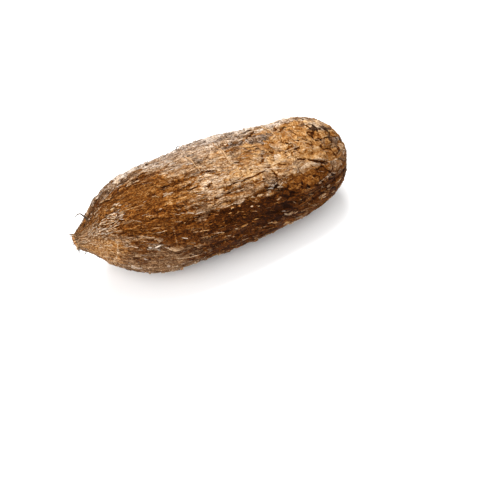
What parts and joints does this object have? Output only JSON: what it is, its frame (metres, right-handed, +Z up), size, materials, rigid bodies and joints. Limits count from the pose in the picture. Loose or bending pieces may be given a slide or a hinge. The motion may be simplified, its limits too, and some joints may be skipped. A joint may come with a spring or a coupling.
{
  "type": "cassava root",
  "caption": "Whole cassava root lying on its side: a stout tapering tuber in rough fibrous brown bark, with a snapped tail and a blunt neck end.",
  "frame": {"origin": "on the surface that the root rests on, in the middle of the flat worn on its belly and under the middle of its length", "axes": "+X along the root from its snapped tail to its blunt neck end, +Z up from the resting surface"},
  "size_m": [0.2214, 0.0869, 0.0824],
  "materials": {
    "bark": "rough fibrous brown bark, flaky and cracked, dusty tan on its ridges and dark brown in its furrows"
  },
  "bodies": {
    "root": {"cassava_root": "bark"}
  },
  "joints": []
}
